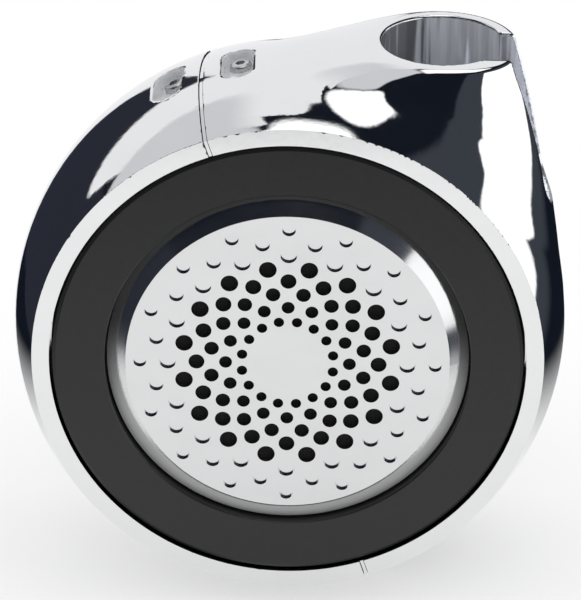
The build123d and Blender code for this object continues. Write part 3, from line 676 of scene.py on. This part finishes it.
# ---- shells ----
SEAM_REACH = 26.0        # how far each shell crosses the middle, because the seam is tilted
GRID_X = 73.0            # ends of the grid, a little past the shells
GRID_Y = (-2.3 * GRID, 64.0)    # it starts so that the flat front lies between two grid planes
GRID_Z = (-73.0, 77.0)
FRONT_FINE = (-3.0, 1.5)
SLEEVE_FINE_X = (16.5, 58.0)
SLEEVE_FINE_Y = (12.0, 54.0)
SLEEVE_FINE_Z = (70.0, 76.0)
LEFT_GRID = (
    grid_line(-GRID_X, SEAM_REACH),
    grid_line(*GRID_Y, FRONT_FINE),
    grid_line(*GRID_Z),
)
RIGHT_GRID = (
    grid_line(-SEAM_REACH, GRID_X, SLEEVE_FINE_X),
    grid_line(*GRID_Y, FRONT_FINE, SLEEVE_FINE_Y),
    grid_line(*GRID_Z, SLEEVE_FINE_Z),
)
for name, side, grid in (("left_shell", -1, LEFT_GRID), ("right_shell", 1, RIGHT_GRID)):
    shell = shell_object(name + "_skin", side, grid)
    shell.data.materials.append(MATERIALS["chrome"])
    shell.data.materials.append(BORE_CHROME)
    shell.data.materials.append(POCKET_CHROME)
    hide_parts(name)
    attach(shell, "speaker")

# ---- floor ----
FLOOR_R = 0.34           # metres
FLOOR_FADE = (0.17, 0.30)
FLOOR_SQUEEZE = (1.3, 1.0, 1.0)   # it fades sooner to the sides than to the front
FLOOR_FILL = 1.02        # light from below the paper, which keeps the shadow soft
FLOOR_SHIFT = 0.09       # how far its middle is in front of the grille
FLOOR_CENTRE = Vector((ORIGIN.x, ORIGIN.y - FLOOR_SHIFT, cad_box[0][2]))
FLOOR_SIDES = 96
FLOOR_RINGS = 6


def floor_disc():
    """Pale floor that fades out towards its edge."""
    verts = [(0, 0, 0)]
    faces = []
    for ring in range(FLOOR_RINGS):
        radius = FLOOR_R * (ring + 1) / FLOOR_RINGS
        for i in range(FLOOR_SIDES):
            angle = 2 * math.pi * i / FLOOR_SIDES
            verts.append((radius * math.cos(angle), radius * math.sin(angle), 0))
            here, ahead = 1 + ring * FLOOR_SIDES + i, 1 + ring * FLOOR_SIDES + (i + 1) % FLOOR_SIDES
            if ring == 0:
                faces.append((0, here, ahead))
            else:
                faces.append((here - FLOOR_SIDES, here, ahead, ahead - FLOOR_SIDES))
    mesh = bpy.data.meshes.new("floor")
    mesh.from_pydata(verts, [], faces)
    disc = bpy.data.objects.new("floor", mesh)
    disc.location = FLOOR_CENTRE
    bpy.context.scene.collection.objects.link(disc)
    material, graph = new_material("floor_paper")
    where = graph.place(FLOOR_SQUEEZE)
    radius = graph.add("VectorMath", {0: where}, operation="LENGTH").outputs["Value"]
    paper = graph.noise(900.0, 4.0)
    tone = graph.blend(paper, rgb((0.90, 0.90, 0.90)), rgb((0.92, 0.92, 0.92)))
    lit = graph.add("Emission", {"Color": tone, "Strength": FLOOR_FILL}).outputs[0]
    matt = graph.add("BsdfDiffuse", {"Color": tone}).outputs[0]
    sheet = graph.add("MixShader", {0: 0.5, 1: lit, 2: matt}).outputs[0]
    clear = graph.add("BsdfTransparent").outputs[0]
    mix = graph.add("MixShader", {0: graph.fade(radius, *FLOOR_FADE), 1: sheet, 2: clear})
    graph.add("OutputMaterial", {"Surface": mix.outputs[0]})
    mesh.materials.append(material)
    return disc


floor_disc()

# ---- studio ----
# Each card is a lit panel far from the object, seen only in reflections. It lies on the plane one
# unit from the object along FACINGS, where middle and half are across and along that plane.
FACINGS = {
    "top": ((0, 0, 1), (1, 0, 0), (0, 1, 0)),
    "back": ((0, 1, 0), (1, 0, 0), (0, 0, 1)),
    "right": ((1, 0, 0), (0, -1, 0), (0, 0, 1)),
    "left": ((-1, 0, 0), (0, 1, 0), (0, 0, 1)),
}
ROOM = srgb(18, 23, 33)
DOME_LEVEL = 0.62        # light on matt surfaces from the horizon
DOME_RISE = 0.80         # and what is added to it straight above
CARDS = [
    # facing, middle, half, squareness, softness, colour
    ("right", (1.2, 0.35), (2.6, 0.87), 6, 0.12, srgb(60, 64, 72)),
    ("left", (3.0, -0.09), (6.0, 0.51), 8, 0.05, srgb(42, 45, 55)),
    ("back", (-0.7, 0.01), (1.0, 0.41), 8, 0.05, srgb(42, 45, 55)),
    ("back", (-0.78, 1.285), (0.93, 0.865), 8, 0.03, srgb(248, 248, 250)),
    ("back", (-1.00, 2.45), (0.60, 0.45), 8, 0.05, srgb(244, 244, 246)),
    ("top", (-1.32, 0.55), (1.03, 0.45), 6, 0.12, srgb(216, 217, 220)),
    ("top", (-0.38, -0.05), (0.20, 0.42), 5, 0.12, srgb(216, 217, 220)),
    ("back", (0.0, 0.44), (0.2, 0.14), 6, 0.1, srgb(248, 248, 250)),
    ("back", (-0.165, -0.08), (0.135, 0.53), 8, 0.06, srgb(248, 248, 250)),
    ("right", (0.30, 0.07), (1.10, 0.33), 5, 0.05, (1.3, 1.3, 1.3)),
    ("top", (0.12, -0.16), (0.28, 0.56), 5, 0.08, (1.3, 1.3, 1.3)),
]


def card_mask(graph, direction, facing, middle, half, squareness, softness):
    """1 where a direction meets the card, 0 elsewhere."""
    ahead, across, along = (
        graph.add("VectorMath", {0: direction, 1: axis}, operation="DOT_PRODUCT").outputs["Value"]
        for axis in FACINGS[facing]
    )
    depth = graph.math("MAXIMUM", ahead, 1e-4)
    u = graph.math("SUBTRACT", graph.math("DIVIDE", across, depth), middle[0])
    v = graph.math("SUBTRACT", graph.math("DIVIDE", along, depth), middle[1])
    powers = [
        graph.math("POWER", graph.math("ABSOLUTE", graph.math("DIVIDE", value, size)), squareness)
        for value, size in zip((u, v), half)
    ]
    reach = graph.math("POWER", graph.math("ADD", *powers), 1 / squareness)
    mask = graph.fade(reach, 1 - softness, 1 + softness, 1.0, 0.0)
    return graph.math("MULTIPLY", mask, graph.math("GREATER_THAN", ahead, 0.02))


def studio():
    world = bpy.data.worlds.new("studio")
    world.use_nodes = True
    graph = Graph(world.node_tree)
    direction = graph.add("TexCoord").outputs["Generated"]
    seen = rgb(ROOM)
    for facing, middle, half, squareness, softness, color in CARDS:
        mask = card_mask(graph, direction, facing, middle, half, squareness, softness)
        seen = graph.blend(mask, seen, rgb(color))
    height = graph.add("SeparateXYZ", {0: direction}).outputs[2]
    dome = graph.math("MULTIPLY_ADD", graph.math("MAXIMUM", height, 0.0), DOME_RISE, DOME_LEVEL)
    ray = graph.add("LightPath").outputs
    light = graph.blend(ray["Is Glossy Ray"], dome, seen)
    light = graph.blend(ray["Is Camera Ray"], light, rgb((1, 1, 1)))
    sky = graph.add("Background", {"Color": light, "Strength": 1.0})
    graph.add("OutputWorld", {"Surface": sky.outputs[0]})
    bpy.context.scene.world = world


studio()

# ---- camera ----
ELEVATION = 0.464606647
YAW = -0.0139626
ROLL = 0.0122173
DISTANCE = 1251.4        # mm from the camera to the plane through the aim point
AIM_SIDE = -0.75         # the aim point, from the view's centre line
AIM_UP = -15.79


def camera():
    forward = Vector(
        (math.sin(YAW) * math.cos(ELEVATION), math.cos(YAW) * math.cos(ELEVATION), -math.sin(ELEVATION))
    )
    level = Vector((math.cos(YAW), -math.sin(YAW), 0))
    upright = level.cross(forward)
    right = math.cos(ROLL) * level + math.sin(ROLL) * upright
    up = math.cos(ROLL) * upright - math.sin(ROLL) * level
    place = (-forward * DISTANCE - right * AIM_SIDE - up * AIM_UP) * MM + ORIGIN
    data = bpy.data.cameras.new("camera")
    data.lens = 300
    data.sensor_width = 36
    data.clip_end = 20
    eye = bpy.data.objects.new("camera", data)
    eye.matrix_world = Matrix.Translation(place) @ Matrix((right, up, -forward)).transposed().to_4x4()
    bpy.context.scene.collection.objects.link(eye)
    bpy.context.scene.camera = eye


camera()
bpy.context.scene.view_settings.view_transform = "Standard"
